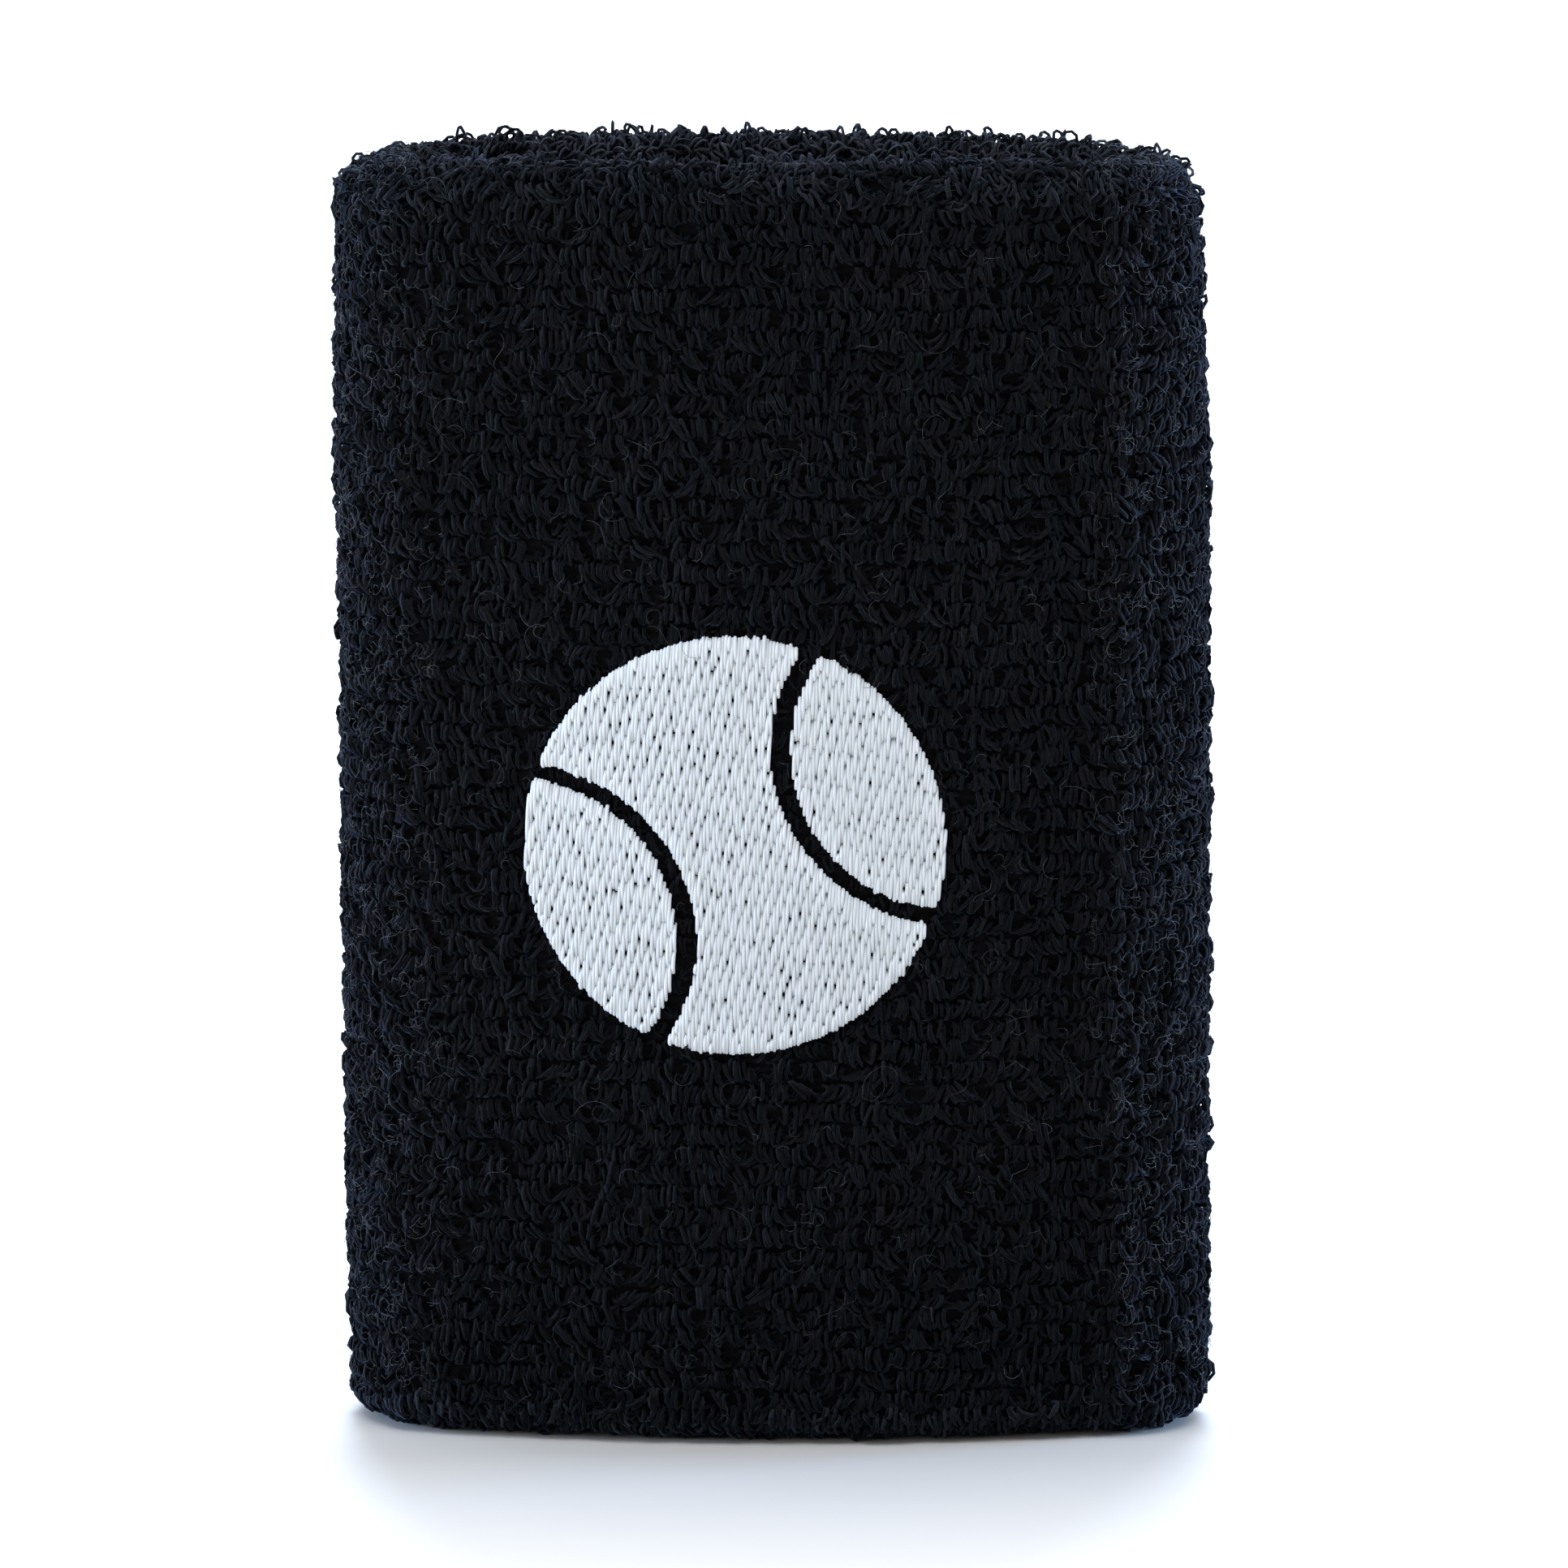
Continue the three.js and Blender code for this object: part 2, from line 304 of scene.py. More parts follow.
def yarnTree(name, shapes):
    # lays a copy of one of these unit curves on each point of a bed, and gives each a round yarn
    tree = bpy.data.node_groups.new(name, "GeometryNodeTree")
    face = tree.interface
    face.new_socket("Bed", in_out="INPUT", socket_type="NodeSocketGeometry")
    for label in ("Width", "Height", "Yarn", "Unevenness"):
        face.new_socket(label, in_out="INPUT", socket_type="NodeSocketFloat")
    for label in ("Steps", "Sides"):
        face.new_socket(label, in_out="INPUT", socket_type="NodeSocketInt")
    face.new_socket("Finish", in_out="INPUT", socket_type="NodeSocketMaterial")
    face.new_socket("Cloth", in_out="OUTPUT", socket_type="NodeSocketGeometry")
    given = addNode(tree, "NodeGroupInput").outputs
    half = addMath(tree, "MULTIPLY", given["Yarn"], 0.5)
    ring = addNode(tree, "GeometryNodeCurvePrimitiveCircle", {"mode": "RADIUS"},
                   {"Radius": half, "Resolution": given["Sides"]})
    size = addNode(tree, "ShaderNodeCombineXYZ",
                   links={"X": given["Width"], "Y": given["Width"], "Z": given["Height"]})
    # the finish reads how far round and how far along the yarn it is
    place = addNode(tree, "GeometryNodeInputPosition").outputs[0]
    around = addNode(tree, "ShaderNodeVectorMath", {"operation": "NORMALIZE"}, {0: place}).outputs[0]
    marked = addNode(tree, "GeometryNodeStoreNamedAttribute", {"data_type": "FLOAT_VECTOR"},
                     {"Geometry": ring.outputs[0], "Value": around}, Name="round")
    copies = addNode(tree, "GeometryNodeJoinGeometry")
    for start, startHandle, endHandle, end in shapes:
        curve = addNode(tree, "GeometryNodeCurvePrimitiveBezierSegment", {"mode": "POSITION"},
                        {"Resolution": given["Steps"]}, Start=start, Start_Handle=startHandle,
                        End_Handle=endHandle, End=end)
        sized = addNode(tree, "GeometryNodeTransform",
                        links={"Geometry": curve.outputs[0], "Scale": size.outputs[0]})
        copy = addNode(tree, "GeometryNodeGeometryToInstance", links={"Geometry": sized.outputs[0]})
        tree.links.new(copy.outputs[0], copies.inputs[0])
    read = {}
    for label in ("facing", "across", "grow", "kind"):
        form = "INT" if label == "kind" else "FLOAT_VECTOR"
        read[label] = addNode(
            tree, "GeometryNodeInputNamedAttribute", {"data_type": form}, Name=label).outputs[0]
    turn = addNode(tree, "FunctionNodeAxesToRotation", {"primary_axis": "Z", "secondary_axis": "X"},
                   {0: read["facing"], 1: read["across"]})
    put = addNode(tree, "GeometryNodeInstanceOnPoints", links={
        "Points": given["Bed"], "Instance": copies.outputs[0], "Instance Index": read["kind"],
        "Rotation": turn.outputs[0], "Scale": read["grow"],
    }, Pick_Instance=True)
    real = addNode(tree, "GeometryNodeRealizeInstances", links={"Geometry": put.outputs[0]})
    walked = addNode(tree, "GeometryNodeSplineParameter").outputs["Length"]
    measured = addNode(tree, "GeometryNodeStoreNamedAttribute", {"data_type": "FLOAT"},
                       {"Geometry": real.outputs[0], "Value": walked}, Name="runs")
    least = addMath(tree, "SUBTRACT", 1, given["Unevenness"])
    most = addMath(tree, "ADD", 1, given["Unevenness"])
    thick = addNode(tree, "FunctionNodeRandomValue", {"data_type": "FLOAT"}, {2: least, 3: most}, Seed=5)
    uneven = addNode(tree, "GeometryNodeSetCurveRadius",
                     links={"Curve": measured.outputs[0], "Radius": thick.outputs[1]})
    tube = addNode(tree, "GeometryNodeCurveToMesh", links={
        "Curve": uneven.outputs[0], "Profile Curve": marked.outputs[0]}, Fill_Caps=True)
    smooth = addNode(tree, "GeometryNodeSetShadeSmooth", links={"Geometry": tube.outputs[0]})
    whole = addNode(tree, "GeometryNodeRealizeInstances", links={"Geometry": smooth.outputs[0]})
    dyed = addNode(tree, "GeometryNodeSetMaterial",
                   links={"Geometry": whole.outputs[0], "Material": given["Finish"]})
    addNode(tree, "NodeGroupOutput", links={"Cloth": dyed.outputs[0]})
    return tree


# Camera, light and floor

studio = {
    "azimuth": 4.2,  # degrees that the camera stands round to the right
    "elevation": 11.5,  # degrees that it looks down
    "distance": 1.0,
    "frameWidth": 139.4 * mm,  # what the picture takes in at the band
    "aim": (0.85 * mm, 0, 57.45 * mm),
    "roll": -0.45,  # degrees
    "roomFront": 0.29,  # how bright the room is on the viewer's side, and behind the band
    "roomBack": 1.5,
    "paper": "#bfbcb6",
    "paintedGlow": 0.52,  # painted glow: the paper glows though it is no lamp, but not near the band, which leaves a painted soft shadow there
    "paintedGlowColour": "#fff2e0",
    "paintedGlowFrom": 2 * mm,
    "paintedGlowTo": 75 * mm,
    "floorReach": 6,
}
lamps = {  # azimuth from the front and elevation, distance, size, power, colour
    "softboxLeft": (-100, 3, 0.8, (0.6, 0.16), 17, "#98c0f6"),
    "softboxRight": (104, 3, 0.8, (0.2, 0.16), 23, "#a0c4f5"),
    "softboxTop": (0, 76, 0.9, (0.9, 0.4), 8, "#ecf0f8"),
    "softboxBack": (180, 38, 1.0, (0.6, 0.4), 14, "#cfe0fa"),
    "softboxFront": (-60, 17, 1.0, (0.9, 0.6), 4.4, "#f6f5f6"),
}


def towards(azimuth, elevation):
    a, e = radians(azimuth), radians(elevation)
    return Vector((sin(a) * cos(e), -cos(a) * cos(e), sin(e)))


def makeCamera():
    data = bpy.data.cameras.new("camera")
    data.lens = data.sensor_width * studio["distance"] / studio["frameWidth"]
    data.clip_end = 50
    camera = showing(bpy.data.objects.new("camera", data))
    back = towards(studio["azimuth"], studio["elevation"])
    roll = Matrix.Rotation(radians(studio["roll"]), 3, "Z")
    turn = (-back).to_track_quat("-Z", "Y").to_matrix() @ roll
    spot = Vector(studio["aim"]) + back * studio["distance"]
    camera.matrix_world = Matrix.Translation(spot) @ turn.to_4x4()
    bpy.context.scene.camera = camera


def makeLamps():
    for name, (azimuth, elevation, distance, size, power, colour) in lamps.items():
        data = bpy.data.lights.new(name, "AREA")
        data.shape = "RECTANGLE"
        data.size, data.size_y = size
        data.energy = power
        data.color = linear(colour)[:3]
        lamp = showing(bpy.data.objects.new(name, data))
        way = towards(azimuth, elevation)
        turn = (-way).to_track_quat("-Z", "Y").to_matrix().to_4x4()
        lamp.matrix_world = Matrix.Translation(way * distance + Vector(studio["aim"])) @ turn


def makeRoom():
    # a white room, bright behind the band and dimmer on the viewer's side
    scene = bpy.context.scene
    scene.view_settings.view_transform = "Standard"
    world = bpy.data.worlds.new("whiteRoom")
    world.use_nodes = True
    scene.world = world
    tree = world.node_tree
    sky = tree.nodes["Background"]
    sky.inputs["Color"].default_value = linear("#f9fbff")
    way = addNode(tree, "ShaderNodeTexCoord").outputs["Generated"]
    parts = addNode(tree, "ShaderNodeSeparateXYZ", links={"Vector": way})
    level = addNode(tree, "ShaderNodeMapRange", links={"Value": parts.outputs["Y"]}, From_Min=-0.05,
                    From_Max=0.45, To_Min=studio["roomFront"], To_Max=studio["roomBack"])
    tree.links.new(level.outputs[0], sky.inputs["Strength"])


def makeFloor():
    # matt paper that glows though it is no lamp: white all round, and a painted soft shadow where the
    # band stands, where the glow fades out
    paper, tree, shader, place = newMaterial(
        "seamlessPaper", Base_Color=linear(studio["paper"]), Roughness=0.5,
        Emission_Color=linear(studio["paintedGlowColour"]))
    out = addNode(tree, "ShaderNodeVectorMath", {"operation": "ABSOLUTE"}, {0: place})
    away = addNode(tree, "ShaderNodeVectorMath", {"operation": "SUBTRACT"},
                   {0: out.outputs[0], 1: (halfWidth, halfDepth, 0)})
    clear = addNode(tree, "ShaderNodeVectorMath", {"operation": "MAXIMUM"}, {0: away.outputs[0]})
    distance = addNode(tree, "ShaderNodeVectorMath", {"operation": "LENGTH"}, {0: clear.outputs[0]})
    # painted light: how bright the paper glows, nothing near the band, so that a soft shadow is painted
    # round its foot
    paintedGlow = addNode(tree, "ShaderNodeMapRange", links={"Value": distance.outputs["Value"]},
                   From_Min=studio["paintedGlowFrom"], From_Max=studio["paintedGlowTo"], To_Max=studio["paintedGlow"])
    tree.links.new(paintedGlow.outputs[0], shader.inputs["Emission Strength"])
    far = studio["floorReach"]
    corners = [(-far, -far, 0), (far, -far, 0), (far, far, 0), (-far, far, 0)]
    mesh = bpy.data.meshes.new("floor")
    mesh.from_pydata(corners, [], [(0, 1, 2, 3)])
    mesh.materials.append(paper)
    showing(bpy.data.objects.new("floor", mesh))


makeCamera()
makeLamps()
makeRoom()
makeFloor()
print("studio ready")


# Finishes

waveScale = 0.314  # a wave texture of this scale has one band to the metre


def addBump(tree, shader, height, strength, distance, **settings):
    bump = addNode(
        tree, "ShaderNodeBump", settings, {"Height": height}, Strength=strength, Distance=distance)
    tree.links.new(bump.outputs[0], shader.inputs["Normal"])


def fibresAlong(tree, twist, fine, long):
    # noise drawn out along a yarn, so that it reads as fibres that wind round it
    shade = addNode(tree, "ShaderNodeAttribute", {"attribute_name": "shade"}).outputs["Fac"]
    runs = addNode(tree, "ShaderNodeAttribute", {"attribute_name": "runs"}).outputs["Fac"]
    spot = addNode(tree, "ShaderNodeAttribute", {"attribute_name": "round"}).outputs["Vector"]
    wound = addNode(tree, "ShaderNodeVectorRotate", {"rotation_type": "Z_AXIS"},
                    {"Vector": spot, "Angle": addMath(tree, "MULTIPLY", runs, 2 * pi / twist)})
    parts = addNode(tree, "ShaderNodeSeparateXYZ", links={"Vector": wound.outputs[0]})
    drawn = addMath(tree, "MULTIPLY_ADD", runs, 1 / long, shade)
    place = addNode(tree, "ShaderNodeCombineXYZ", links={
        "X": parts.outputs["X"], "Y": parts.outputs["Y"], "Z": drawn})
    own = addMath(tree, "MULTIPLY", shade, 90)  # each yarn has its own stretch of the noise
    fibres = addNode(tree, "ShaderNodeTexNoise", {"noise_dimensions": "4D"},
                     {"Vector": place.outputs[0], "W": own}, Scale=fine, Detail=2.0)
    return shade, fibres.outputs["Fac"]


def toneRamp(tree, shader, parts, low, high, dark, light):
    # adds up what darkens and lightens the yarn, and colours it between two tones
    total = parts[0]
    for part in parts[1:]:
        total = addMath(tree, "ADD", total, part)
    level = addNode(tree, "ShaderNodeMapRange", links={"Value": total}, From_Min=low, From_Max=high)
    ramp = addNode(tree, "ShaderNodeValToRGB", links={"Fac": level.outputs[0]})
    ramp.color_ramp.elements[0].color = linear(dark)
    ramp.color_ramp.elements[1].color = linear(light)
    tree.links.new(ramp.outputs[0], shader.inputs["Base Color"])


def reactiveDyedCotton(name, dark, light, sheen):
    # ring-spun cotton yarn dyed black: it drinks light, and its fuzz catches a cool rim of it
    material, tree, shader, place = newMaterial(
        name, Roughness=0.95, Specular_IOR_Level=0.03, Sheen_Weight=sheen, Sheen_Roughness=0.4,
        Sheen_Tint=linear("#9dbbe2"))
    shade, fibres = fibresAlong(tree, 2.6 * mm, 2.2, 2.2 * mm)
    patches = addNode(
        tree, "ShaderNodeTexNoise", links={"Vector": place}, Scale=1 / (9 * mm), Detail=2.0)
    toneRamp(tree, shader, (shade, fibres, patches.outputs["Fac"]), 0.9, 2.1, dark, light)
    addBump(tree, shader, fibres, 0.9, 0.12 * mm)
    return material


def trilobalPolyester():
    # bright filament thread: parallel filaments that give a soft streaky shine
    material, tree, shader, _ = newMaterial("trilobalPolyesterThread", Roughness=0.5, Sheen_Weight=0.1)
    shade, fibres = fibresAlong(tree, 5 * mm, 2.5, 4 * mm)
    toneRamp(tree, shader, (shade, fibres), 0.4, 1.5, "#c0c8cd", "#d8dde1")
    addBump(tree, shader, fibres, 0.25, 0.04 * mm)
    return material


def nylonGroundKnit():
    # jersey of black nylon, packed with the feet of the loops: dull and lumpy, seen between the loops;
    # its dips are coloured darker, a painted shade
    material, tree, shader, place = newMaterial(
        "nylonGroundKnit", Roughness=0.9, Specular_IOR_Level=0.03)
    # a course every 0.9 mm, and a loop's foot every 0.6 mm
    ribs = addNode(tree, "ShaderNodeTexWave", {"bands_direction": "Z"}, {"Vector": place},
                   Scale=waveScale / (0.9 * mm), Distortion=1.5, Detail=2.0)
    feet = addNode(tree, "ShaderNodeTexVoronoi", links={"Vector": place}, Scale=1 / (0.6 * mm))
    lumpsAndDipShade = addMath(tree, "MULTIPLY", ribs.outputs["Fac"], feet.outputs["Distance"])
    # painted shade: the dips between the lumps are coloured darker
    toneRamp(tree, shader, (lumpsAndDipShade,), 0, 1, "#0f0f11", "#070708")
    addBump(tree, shader, lumpsAndDipShade, 0.7, 0.2 * mm, invert=True)
    return material


def twistedThread(name, dark, light, roughness, sheen, ply):
    # a thread of two plies: a shine, soft or dull, that breaks up along its twist
    material, tree, shader, place = newMaterial(name, Roughness=roughness, Sheen_Weight=sheen)
    shade = addNode(tree, "ShaderNodeAttribute", {"attribute_name": "shade"}).outputs["Fac"]
    fibres = addNode(
        tree, "ShaderNodeTexNoise", links={"Vector": place}, Scale=1 / (0.3 * mm), Detail=2.0)
    toneRamp(tree, shader, (shade, fibres.outputs["Fac"]), 0.4, 1.6, dark, light)
    turned = addNode(tree, "ShaderNodeMapping", links={"Vector": place}, Rotation=(0, radians(35), 0))
    twist = addNode(tree, "ShaderNodeTexWave", {"bands_direction": "Z"}, {"Vector": turned.outputs[0]},
                    Scale=waveScale / ply, Distortion=0.6)
    addBump(tree, shader, twist.outputs["Fac"], 0.35, 0.04 * mm)
    return material


cotton = reactiveDyedCotton("reactiveDyedCotton", "#0d0d0e", "#181719", 0.08)
# on the folds the same yarn is pulled thin; this lighter copy of the cotton for both rims is painted
# light, for the back light those loops let through
paintedRimLightCotton = reactiveDyedCotton("cottonPaintedRimLight", "#0b0b0c", "#303238", 0.12)
jersey = nylonGroundKnit()
# lint from near black to a cool light grey; the light end stands partly for the cool side light the
# fibres catch
lintFibre = twistedThread("cottonLint", "#101114", "#55636f", 0.9, 0.25, 0.3 * mm)
embroideryThread = trilobalPolyester()
overlockThread = twistedThread("spunPolyesterThread", "#101115", "#1d1f25", 0.7, 0.05, 0.4 * mm)
bobbinThread = twistedThread("spunBobbinThread", "#c9cbcd", "#e4e5e6", 0.75, 0.05, 0.3 * mm)
elastaneYarn = twistedThread("coveredElastane", "#a9acb0", "#c6c8cb", 0.6, 0.1, 0.5 * mm)
backingFelt = twistedThread("cutAwayBacking", "#d5d5d0", "#efefec", 0.9, 0.0, 1.1 * mm)
print("finishes ready")


# The knitted sleeve

sleeve = {
    "columns": 200,
    "rows": (22, 11, 60, 11, 22),  # in each stretch of the section
    "flat": (160 * mm, 235 * mm),  # the tube as knitted: its girth, and its length end to end
}


def makeSleeve():
    # one closed shell: its outer skin walks the cloth one way and its inner skin comes back
    steps = []
    for part, count in enumerate(sleeve["rows"]):
        steps.append(np.linspace(*outerSkin.parts[part:part + 2], count)[:-1])
    steps = np.append(np.concatenate(steps), outerSkin.length)
    back = np.interp(steps, outerSkin.parts, innerSkin.parts)[::-1]
    share = np.arange(sleeve["columns"]) / sleeve["columns"]
    rings = [(outerSkin, walked) for walked in steps] + [(innerSkin, walked) for walked in back]
    points = np.stack([
        clothPoint(skin, np.full(len(share), walked), share)[0] for skin, walked in rings])
    rows, columns = points.shape[:2]
    index = np.arange(rows * columns).reshape(rows, columns)
    below, right = np.roll(index, -1, 0), np.roll(index, -1, 1)
    faces = np.stack([index, right, np.roll(right, -1, 0), below], -1).reshape(-1, 4)
    mesh = bpy.data.meshes.new("terrySleeve")
    mesh.from_pydata(points.reshape(-1, 3).tolist(), [], faces.tolist())
    mesh.shade_smooth()
    mesh.materials.append(jersey)
    mesh.update()
    return showing(bpy.data.objects.new("terrySleeve", mesh))


terrySleeve = makeSleeve()
print("sleeve knitted")


# The embroidered ball: where its stitching lies

ball = {
    "gapRadius": 15 * mm,  # of the two curved gaps
    "gapOffset": 21 * mm,  # from the ball's centre to a gap's centre
    "gapWidth": 1.9 * mm,
    "tilt": 24,  # degrees
    "threadPitch": 0.28 * mm,
    "thread": 0.35 * mm,
    "stitch": 3.2 * mm,
    "dip": 0.62 * mm,  # how deep a stitch's ends go into the cloth
    "slant": 3,  # degrees off upright
    "edge": 1.6 * mm,  # how wide the edge is that the underlay lifts, and that is painted lighter
    "skip": 0.3,  # share of needle holes that gape
    "ragged": 0.16,  # mm that a row's ends stray
    "shortest": 0.7 * mm,
    "inset": 0.75 * mm,  # how far below the pile's face a stitch's ends lie
    "underlay": 0.1 * mm,  # how far the edge is lifted
    "pressed": 1.6 * mm,  # how far the stitching holds the pile down around it
}


def ballRegion(x, z):
    # 1 to 3 inside the left, middle and right regions, else 0; and the depth into the region
    x, z = x - emblemX, z - emblemZ
    c, s = cos(radians(ball["tilt"])), sin(radians(ball["tilt"]))
    inside = emblemRadius - np.hypot(x, z)
    gapIn, gapOut = (ball["gapRadius"] + side * ball["gapWidth"] / 2 for side in (-1, 1))
    left = np.hypot(x + ball["gapOffset"] * c, z + ball["gapOffset"] * s)
    right = np.hypot(x - ball["gapOffset"] * c, z - ball["gapOffset"] * s)
    depth = np.stack([
        np.minimum(inside, gapIn - left),
        np.minimum(inside, np.minimum(left, right) - gapOut),
        np.minimum(inside, gapIn - right),
    ])
    best = depth.max(0)
    return np.where(best > 0, depth.argmax(0) + 1, 0), best


# The pile

pile = {
    "rowPitch": 1.87 * mm,
    "loopPitch": 0.31 * mm,
    "bundle": 5,  # loops that curl together
    "liningPitch": 0.7 * mm,
    "rimRowPitch": 0.75 * mm,  # closer at the roots, because the fold fans the loops out
    "loopWidth": 2.1 * mm,
    "loopHeight": 1 * mm,
    "yarn": 0.4 * mm,
    "rimYarn": 0.34 * mm,  # the loops on a fold are pulled thin
    "sag": 0.22,  # how far the loops droop
    # these three vary by bundle, by loop, and from one patch of cloth to the next
    "lean": (0.24, 0.1, 0.3),  # sideways
    "rough": (0.25, 0.1, 0.2),  # up and down
    "reach": (0.05, 0.07, 0.07),  # shares of the pile's height
    "gather": 0.09,  # how far the tips of a bundle lean together
    "yaw": (0.42, 0.16),  # radians, by bundle and by loop
    "stood": 0.74,  # how high a loop stands, as a share of the pile's height
    "wander": 0.36 * mm,  # how far a row strays up and down
    "wanderRing": 25 * mm,  # a row reads its noise on this ring, so that it closes on itself
    "jitter": 0.19,  # mm that a loop strays from its row
    "margin": 0.4 * mm,  # how near to the closing seam a loop roots
    "rimSpread": 1.3,  # the loops on a fold are this much further apart
    # how far the rims' tone is taken down on the lighter painted-light copy of the cotton
    "rimShade": -0.35,
    # the top rim's outer side is rubbed flat, and its inner side, which faces into the opening, is
    # painted lighter: painted light
    "rimTwist": 1.8,
    "rubbed": 0.75,  # width left
    "paintedInnerLight": 0.7,  # how much lighter the inner side is painted
    "stray": 0.09,  # share of the top rim's loops that stand proud
    "strayReach": 1.5,
    "overBall": 0.3 * mm,  # how far outside the ball's edge loops are left out
    "pressedTo": 0.6,  # height left around the ball, and in its gaps
    "gapTo": 0.3,
    "unevenness": 0.22,
    "seed": 7,
}
random = np.random.default_rng(pile["seed"])
# an inverted U that leans, crosses its legs and bulges to one side, by turns to the left and right
loopKinds = (
    (0.15, 0.12, 0.32), (-0.2, -0.15, -0.3), (0.05, 0.3, 0.14),
    (-0.1, -0.28, -0.16), (-0.05, -0.1, 0.42), (0.22, 0.08, -0.38),
)
terryLoops = yarnTree("terryLoops", [
    ((-0.24, -cross / 3, -0.08), (-0.95 + lean, cross + bulge, 1.35),
     (0.95 + lean, bulge - cross, 1.3), (0.24, cross / 3, -0.08))
    for lean, cross, bulge in loopKinds
])


def rowsBetween(low, high, pitch):
    count = max(1, round((high - low) / pitch))
    return low + (np.arange(count) + 0.5) * (high - low) / count


def pileBed(rows, loopPitch, twist=1.0, stray=0.0):
    # where each loop roots on the sleeve, row by row, and how it stands
    found = []
    for walked in rows:
        out, _, flatNormal, _ = outerSkin.at(walked)
        count = round(girth(float(out) + pileHeight * 0.5 * float(flatNormal[0])) / loopPitch)
        number = np.arange(count)
        share = (number + random.uniform(0, 1) + random.uniform(-0.25, 0.25, count)) / count
        turned = share * 2 * pi
        ring = pile["wanderRing"]
        spot = np.stack([np.cos(turned) * ring, np.sin(turned) * ring, np.full(count, walked)], -1)
        jitter = random.normal(0, pile["jitter"], count) * mm
        along = walked + pile["wander"] * softly(spot, 7 * mm, 2) + jitter
        along = np.clip(along, pile["margin"], outerSkin.length - pile["margin"])
        bundle = number // pile["bundle"]
        seat = (number % pile["bundle"] - (pile["bundle"] - 1) / 2)[:, None]
        curl = random.normal(0, 1, (bundle[-1] + 1, 3))[bundle]
        found.append((*clothPoint(outerSkin, along, share), seat, curl))
    point, normal, way, around, seat, curl = (np.concatenate(parts) for parts in zip(*found))
    count = len(point)
    # the loops of a bundle curl the same way and lean together at their tips
    byBundle, byLoop, byPatch = pile["lean"]
    lean = (byBundle * curl[:, 0] - pile["gather"] * seat[:, 0] + random.normal(0, byLoop, count)
            + byPatch * softly(point, 5 * mm, 4))
    byBundle, byLoop, byPatch = pile["rough"]
    rough = byBundle * curl[:, 1] + random.normal(0, byLoop, count) + byPatch * softly(point, 5 * mm, 3)
    facing = unit(normal - up * pile["sag"] + around * lean[:, None] + way * rough[:, None])
    byBundle, byLoop = pile["yaw"]
    yaw = twist * (byBundle * curl[:, 2] + random.normal(0, byLoop, count))
    side = unit(np.cross(facing, way))
    across = unit(way * np.cos(yaw)[:, None] + side * np.sin(yaw)[:, None])
    byBundle, byLoop, byPatch = pile["reach"]
    reach = pileHeight * (pile["stood"] + byBundle * curl[:, 1] + random.uniform(-byLoop, byLoop, count)
                          + byPatch * softly(point, 8 * mm, 6))
    reach = np.where(random.random(count) < stray, reach * pile["strayReach"], reach) - packed
    stand = np.maximum((facing * normal).sum(-1), 0.4)
    tall = np.clip(reach / stand / pile["loopHeight"], 0.25, 2.2)
    wide = np.clip(random.normal(1, 0.14, count) + 0.08 * curl[:, 0], 0.6, 1.4)
    shade = np.clip(0.5 + random.normal(0, 0.16, count) + 0.1 * curl[:, 0], 0, 1)
    kind = 2 * random.integers(0, len(loopKinds) // 2, count) + (curl[:, 2] > 0)
    return {
        "point": point, "normal": normal, "around": around, "way": way, "facing": facing,
        "across": across, "tall": tall, "wide": wide, "shade": shade, "kind": kind.astype(np.int32),
    }


def keepOffFloor(bed):
    # a loop under the base rim is pressed short by the floor
    reach = bed["tall"] * pile["loopHeight"] * np.maximum(-bed["facing"][:, 2], 0.05)
    room = np.maximum(bed["point"][:, 2] - pile["yarn"] / 2, 0.25 * mm)
    bed["tall"] = bed["tall"] * np.minimum(1, room / reach)


def makePile(name, bed, keep=slice(None), yarn=pile["yarn"], steps=5, finish=cotton):
    kept = {key: values[keep] for key, values in bed.items()}
    grow = np.stack([kept["wide"], kept["wide"], kept["tall"]], -1)
    obj = pointBed(name, kept["point"], facing=kept["facing"], across=kept["across"], grow=grow,
                   shade=kept["shade"], kind=kept["kind"])
    return grown(obj, terryLoops, Width=pile["loopWidth"], Height=pile["loopHeight"], Yarn=yarn,
                 Unevenness=pile["unevenness"], Steps=steps, Sides=3, Finish=finish)


baseStart, baseEnd, topStart, topEnd = outerSkin.parts[1:5]
outside = pileBed(rowsBetween(baseEnd, topStart, pile["rowPitch"]), pile["loopPitch"])
rimPitch = pile["loopPitch"] * pile["rimSpread"]
topRim = pileBed(rowsBetween(topStart, topEnd, pile["rimRowPitch"]), rimPitch, pile["rimTwist"],
                 pile["stray"])
baseRim = pileBed(rowsBetween(baseStart, baseEnd, pile["rimRowPitch"]), rimPitch)
liningLow = pileBed(rowsBetween(0, baseStart, pile["rowPitch"]), pile["liningPitch"])
liningHigh = pileBed(rowsBetween(topEnd, outerSkin.length, pile["rowPitch"]), pile["liningPitch"])
keepOffFloor(baseRim)
baseRim["shade"] = baseRim["shade"] + pile["rimShade"]
# painted light: the top rim's inner side is coloured lighter
inward = -(topRim["normal"] * np.cross(topRim["around"], up)).sum(-1)
topRim["wide"] = topRim["wide"] * pile["rubbed"]
topRim["shade"] = topRim["shade"] + pile["rimShade"] + pile["paintedInnerLight"] * np.clip(inward + 0.3, 0, 1)

